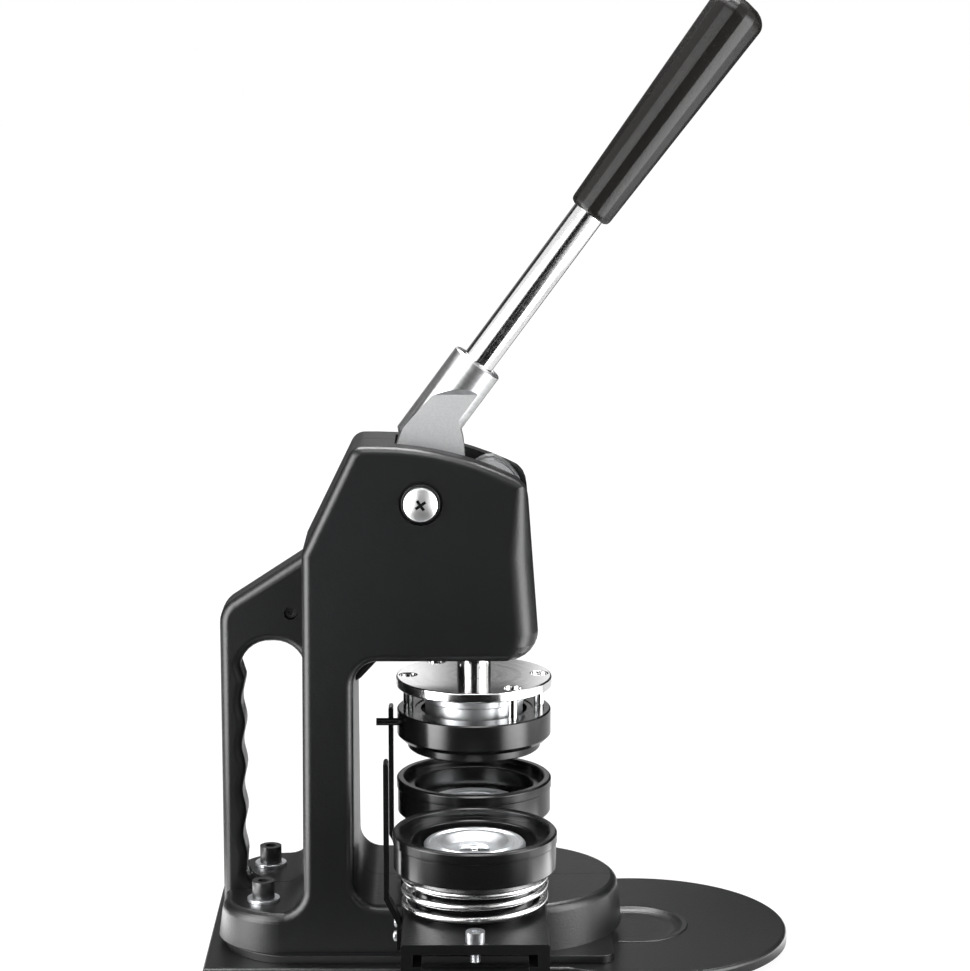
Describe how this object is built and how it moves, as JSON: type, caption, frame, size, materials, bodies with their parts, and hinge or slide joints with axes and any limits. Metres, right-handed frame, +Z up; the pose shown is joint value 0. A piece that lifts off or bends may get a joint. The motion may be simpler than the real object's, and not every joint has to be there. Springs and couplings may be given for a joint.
{
  "type": "button badge maker",
  "caption": "Hand-lever badge press with a cam-driven ram, hanging upper die, two-station sliding lower dies, cast C-frame with carrying handle and a flat base with a work disc.",
  "frame": {"origin": "on the ram's axis, in the plane that the rubber feet stand on (the middle foot is right under the ram)", "axes": "+Z up along the ram, +X out of the open throat away from the carrying handle, +Y along the slide's travel, away from the operator's loading side"},
  "size_m": [0.289, 0.223, 0.4741],
  "materials": {
    "black_paint": "satin black powder coat, lightly textured",
    "black_oxide": "smooth semi-gloss black, turned surfaces",
    "black_slide": "satin black anodised extrusion",
    "polished": "mirror polished",
    "satin_steel": "satin machined steel",
    "cast_alloy": "fine blasted and polished alloy",
    "zinc_screw": "bright plated",
    "black_screw": "black oxide fastener",
    "spring_wire": "bright drawn wire",
    "bronze": "turned bronze",
    "grip_plastic": "semi-matte moulded grip",
    "rubber": "matte rubber"
  },
  "bodies": {
    "frame": {"base_plate": "black_paint", "rubber_feet": "rubber", "base_tray": "black_paint", "casting_near": "black_paint", "casting_far": "black_paint", "base_bolts": "black_screw", "base_washers": "zinc_screw", "base_screws": "black_screw", "handle_screw": "black_screw", "pivot_shaft": "satin_steel", "pivot_bushings": "black_oxide", "pivot_screws": "zinc_screw", "ram_bushing": "bronze", "return_spring": "spring_wire", "slide_rail": "satin_steel", "rail_screws": "black_screw"},
    "lever": {"lever_hub": "cast_alloy", "lever_rod": "polished", "lever_grip": "grip_plastic", "socket_screw": "black_screw"},
    "ram": {"ram": "polished", "ram_cap": "satin_steel", "die_carrier": "polished", "punch_hub": "satin_steel", "punch_screw": "black_screw"},
    "upper_ring": {"upper_ring": "black_oxide", "guide_screws": "polished"},
    "selector": {"selector_sleeve": "black_oxide", "selector_pin": "black_oxide"},
    "slide": {"slide": "black_slide", "stop_screws": "zinc_screw", "shift_arm_front": "black_oxide", "shift_arm_rear": "black_oxide", "arm_screws": "zinc_screw", "guide_cup_front": "black_oxide", "guide_cup_rear": "black_oxide", "die_insert_front": "satin_steel", "die_insert_rear": "satin_steel", "insert_screws": "polished", "die_spring_front": "spring_wire", "die_spring_rear": "spring_wire"},
    "front_ring": {"lower_ring_front": "black_oxide"},
    "rear_ring": {"lower_ring_rear": "black_oxide"}
  },
  "joints": [
    {"name": "lever_hinge", "type": "hinge", "parent": "frame", "child": "lever", "pos_m": [-0.0257, 0, 0.2315], "axis": [0, 1, 0], "range_deg": [0, 65], "stiffness_Nm_per_rad": 1.6, "springref_deg": -57.3},
    {"name": "ram_slide", "type": "slide", "parent": "frame", "child": "ram", "axis": [0, 0, -1], "range_m": [0, 0.02917], "deforming": ["return_spring"]},
    {"name": "upper_ring_slide", "type": "slide", "parent": "ram", "child": "upper_ring", "axis": [0, 0, 1], "range_m": [0, 0.0098]},
    {"name": "selector_turn", "type": "hinge", "parent": "upper_ring", "child": "selector", "pos_m": [0, 0, 0.1192], "axis": [0, 0, -1], "range_deg": [0, 6.61]},
    {"name": "slide_travel", "type": "slide", "parent": "frame", "child": "slide", "axis": [0, 1, 0], "range_m": [0, 0.0926]},
    {"name": "front_ring_sink", "type": "slide", "parent": "slide", "child": "front_ring", "axis": [0, 0, -1], "range_m": [0, 0.007], "stiffness_N_per_m": 900, "springref_m": -0.01, "deforming": ["die_spring_front"]},
    {"name": "rear_ring_sink", "type": "slide", "parent": "slide", "child": "rear_ring", "axis": [0, 0, -1], "range_m": [0, 0.007], "stiffness_N_per_m": 900, "springref_m": -0.01, "deforming": ["die_spring_rear"]}
  ],
  "couplings": [
    {"joint": "ram_slide", "follows": "lever_hinge", "m_per_rad": 0.0257},
    {"joint": "upper_ring_slide", "follows": "lever_hinge", "m_per_rad": 0.00855},
    {"joint": "selector_turn", "follows": "slide_travel", "rad_per_m": 1.244}
  ]
}
